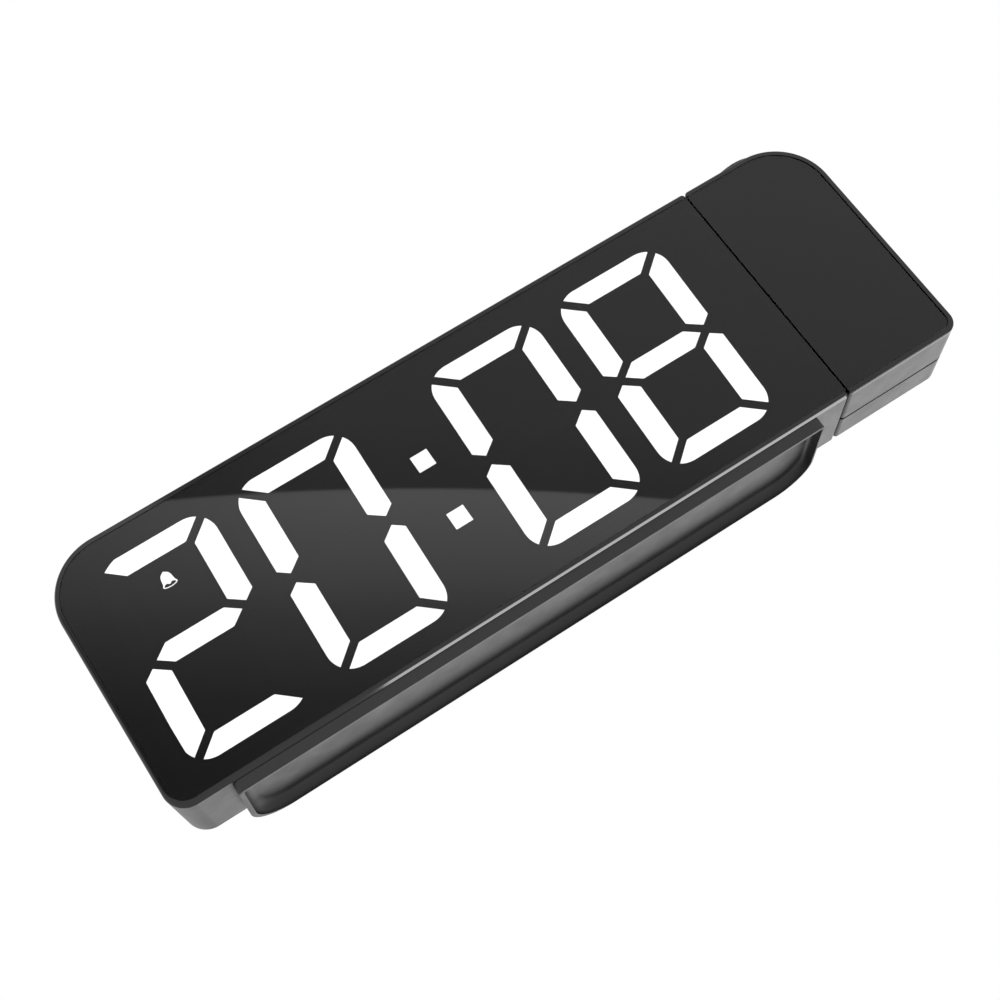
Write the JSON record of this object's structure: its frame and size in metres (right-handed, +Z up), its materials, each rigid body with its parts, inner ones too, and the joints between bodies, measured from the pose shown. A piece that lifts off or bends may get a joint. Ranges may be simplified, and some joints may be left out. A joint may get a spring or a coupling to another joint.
{
  "type": "projection alarm clock",
  "caption": "Slim desk alarm clock with a smoked mirror face, large seven-segment LED digits, a low foot and a turning ceiling projector at one end.",
  "frame": {"origin": "middle of the clock on the surface that the foot stands on", "axes": "X along the clock towards the projector end, Y from the front face to the rear, Z up"},
  "size_m": [0.192, 0.028, 0.0647],
  "materials": {
    "housing": "fine satin moulded plastic",
    "foot_plastic": "fine satin moulded plastic",
    "smoked_panel": "polished smoked panel",
    "black_foam": "adhesive foam",
    "black_film": "printed film",
    "white_plastic": "plain moulded plastic",
    "segment_on": "frosted, lit white",
    "segment_off": "frosted, unlit",
    "circuit_board": "solder mask",
    "led_chip": "yellow phosphor under clear resin",
    "screw_steel": "zinc plated",
    "black_component": "plain moulded plastic",
    "tinned_metal": "nickel plated",
    "contact_metal": "bright pins",
    "button_plastic": "satin",
    "cell_sleeve": "printed sleeve",
    "bush_plastic": "natural bearing plastic",
    "washer_steel": "spring steel",
    "shaft_aluminium": "turned",
    "lead_sleeve": "flexible sleeve",
    "ring_plastic": "ribbed, satin",
    "clear_lens": "polished",
    "slide_glass": "thin display glass"
  },
  "bodies": {
    "clock": {"main_housing": "housing", "foot": "foot_plastic", "front_panel": "smoked_panel", "panel_tape": "black_foam", "mask_film": "black_film", "light_box": "white_plastic", "lit_segments": "segment_on", "unlit_segments": "segment_off", "colon_dots": "segment_on", "bell_icon": "segment_on", "display_board": "circuit_board", "segment_leds": "led_chip", "display_screws": "screw_steel", "control_board": "circuit_board", "controller_chip": "black_component", "clock_crystal": "tinned_metal", "usb_inlet": "tinned_metal", "buzzer": "black_component", "button_switches": "black_component", "snooze_switch": "black_component", "board_link": "contact_metal", "board_screws": "screw_steel", "battery_cells": "cell_sleeve", "cell_springs": "tinned_metal", "cell_plates": "tinned_metal", "shaft_bush": "bush_plastic", "spring_washer": "washer_steel", "thrust_washer": "washer_steel", "lead_plug": "white_plastic", "body_lead": "lead_sleeve"},
    "projector_head": {"retaining_clip": "washer_steel", "hollow_shaft": "shaft_aluminium", "head_lead": "lead_sleeve", "head_front_shell": "housing", "head_rear_shell": "housing", "head_panel": "smoked_panel", "head_screws": "screw_steel", "lens_barrel": "black_component", "slide_holder": "black_component", "time_slide": "slide_glass", "condenser_lens": "clear_lens", "led_board": "circuit_board", "projector_led": "led_chip"},
    "focus": {"focus_ring": "ring_plastic"},
    "lens": {"lens_cell": "black_component", "objective_lens": "clear_lens"},
    "set": {"set_button": "button_plastic"},
    "up": {"up_button": "button_plastic"},
    "down": {"down_button": "button_plastic"},
    "alarm": {"alarm_button": "button_plastic"},
    "snooze": {"snooze_bar": "button_plastic"},
    "door": {"battery_door": "housing"}
  },
  "joints": [
    {"name": "head_turn", "type": "hinge", "parent": "clock", "child": "projector_head", "pos_m": [0.0665, -0.0027, 0.0324], "axis": [1, 0, 0], "range_deg": [-90, 90]},
    {"name": "focus_turn", "type": "hinge", "parent": "projector_head", "child": "focus", "pos_m": [0.08245, -0.002, 0.0647], "axis": [0, 0, 1], "range_deg": [-60, 60]},
    {"name": "focus_slide", "type": "slide", "parent": "projector_head", "child": "lens", "axis": [0, 0, 1], "range_m": [-0.001, 0.001]},
    {"name": "set_press", "type": "slide", "parent": "clock", "child": "set", "axis": [0, -1, 0], "range_m": [0, 0.0006], "stiffness_N_per_m": 600},
    {"name": "up_press", "type": "slide", "parent": "clock", "child": "up", "axis": [0, -1, 0], "range_m": [0, 0.0006], "stiffness_N_per_m": 600},
    {"name": "down_press", "type": "slide", "parent": "clock", "child": "down", "axis": [0, -1, 0], "range_m": [0, 0.0006], "stiffness_N_per_m": 600},
    {"name": "alarm_press", "type": "slide", "parent": "clock", "child": "alarm", "axis": [0, -1, 0], "range_m": [0, 0.0006], "stiffness_N_per_m": 600},
    {"name": "snooze_press", "type": "slide", "parent": "clock", "child": "snooze", "axis": [0, 0, -1], "range_m": [0, 0.0008], "stiffness_N_per_m": 600},
    {"name": "battery_door_lift", "type": "slide", "parent": "clock", "child": "door", "axis": [0, 1, 0], "range_m": [0, 0.01]}
  ],
  "couplings": [
    {"joint": "focus_turn", "follows": "focus_slide", "rad_per_m": 1047.2}
  ]
}
